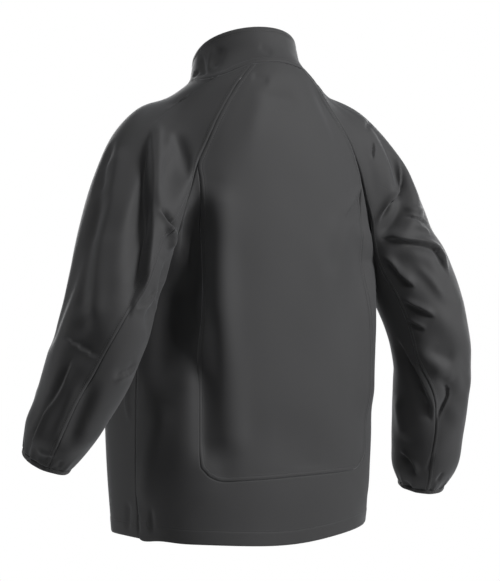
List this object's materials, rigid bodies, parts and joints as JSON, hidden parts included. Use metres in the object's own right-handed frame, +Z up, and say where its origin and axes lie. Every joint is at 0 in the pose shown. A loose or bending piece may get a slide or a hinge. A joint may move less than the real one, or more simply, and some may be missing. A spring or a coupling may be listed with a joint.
{
  "type": "worn softshell jacket",
  "caption": "Long-sleeved softshell jacket with raglan sleeves, stand collar, back panel and full front zip, hollow as worn.",
  "frame": {"origin": "the nape of the wearer's neck, where the back of the collar is held", "axes": "+Z up, -Y towards the wearer's front and the zip, +X towards the wearer's left"},
  "size_m": [0.7783, 0.3014, 0.7734],
  "materials": {
    "softshell": "smooth charcoal softshell with a soft sheen",
    "elastic_binding": "narrow gathered elastic binding",
    "zip_tape": "woven black zip tape",
    "zip_teeth": "black moulded plastic",
    "zip_metal": "black enamelled zinc"
  },
  "bodies": {
    "jacket": {"back_panel": "softshell", "back_surround": "softshell", "front_left": "softshell", "front_right": "softshell", "collar": "softshell", "sleeve_top_left": "softshell", "sleeve_top_right": "softshell", "sleeve_under_left": "softshell", "sleeve_under_right": "softshell", "cuff_left": "elastic_binding", "cuff_right": "elastic_binding", "zip_tape_left": "zip_tape", "zip_tape_right": "zip_tape", "zip_chain": "zip_teeth", "slider": "zip_metal", "zip_stop": "zip_teeth"},
    "pull_tab": {"pull_tab": "zip_metal"}
  },
  "joints": [
    {"name": "pull_tab_hinge", "type": "hinge", "parent": "jacket", "child": "pull_tab", "pos_m": [0, -0.06904, -0.03198], "axis": [-1, 0, 0], "range_deg": [0, 170]}
  ]
}
